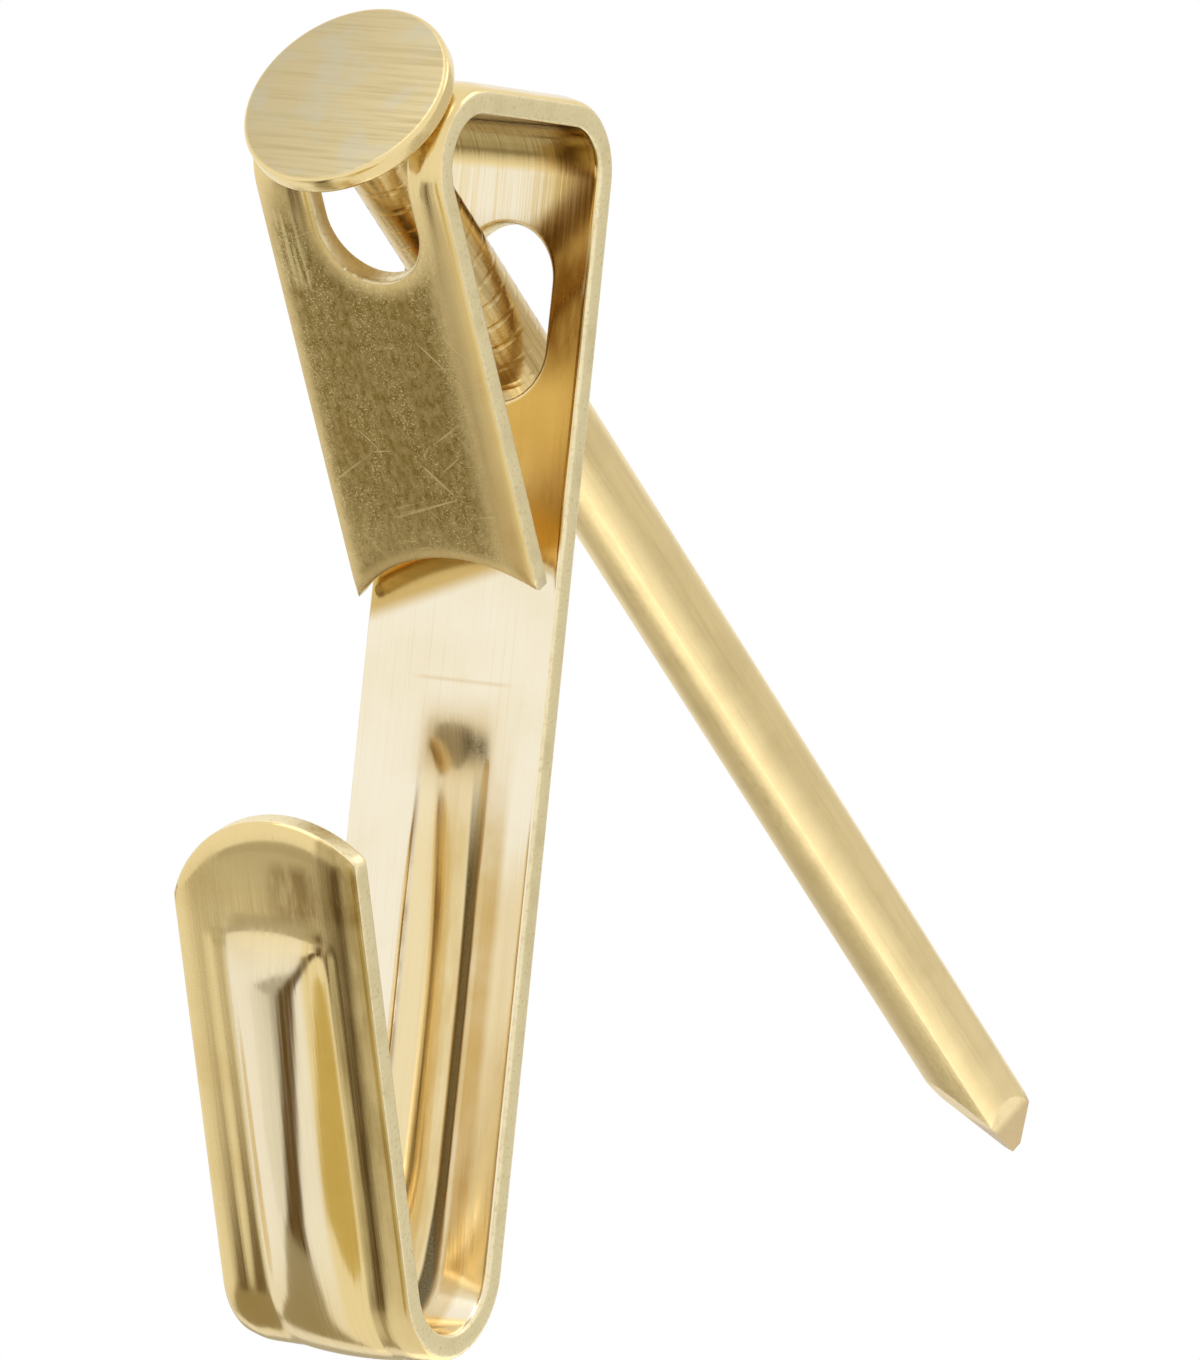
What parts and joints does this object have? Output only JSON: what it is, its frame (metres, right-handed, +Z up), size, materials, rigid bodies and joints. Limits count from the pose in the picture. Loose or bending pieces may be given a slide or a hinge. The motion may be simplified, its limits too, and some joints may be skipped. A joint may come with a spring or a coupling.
{
  "type": "picture hook",
  "caption": "Folded brass-plated strip hook with a ribbed lip and a headed nail slanting down through its loop, for hanging a framed picture on a wall.",
  "frame": {"origin": "the point where the nail's centre line crosses the wall plane, at the back of the plate", "axes": "+Y into the wall, +Z up along the plate, +X to the right of someone facing the wall"},
  "size_m": [0.0088, 0.0611, 0.0533],
  "materials": {
    "plated_strip": "bright brass plating with fine rolling lines",
    "plated_nail": "satin brass plating"
  },
  "bodies": {
    "root": {"hook_strip": "plated_strip", "nail": "plated_nail"}
  },
  "joints": []
}
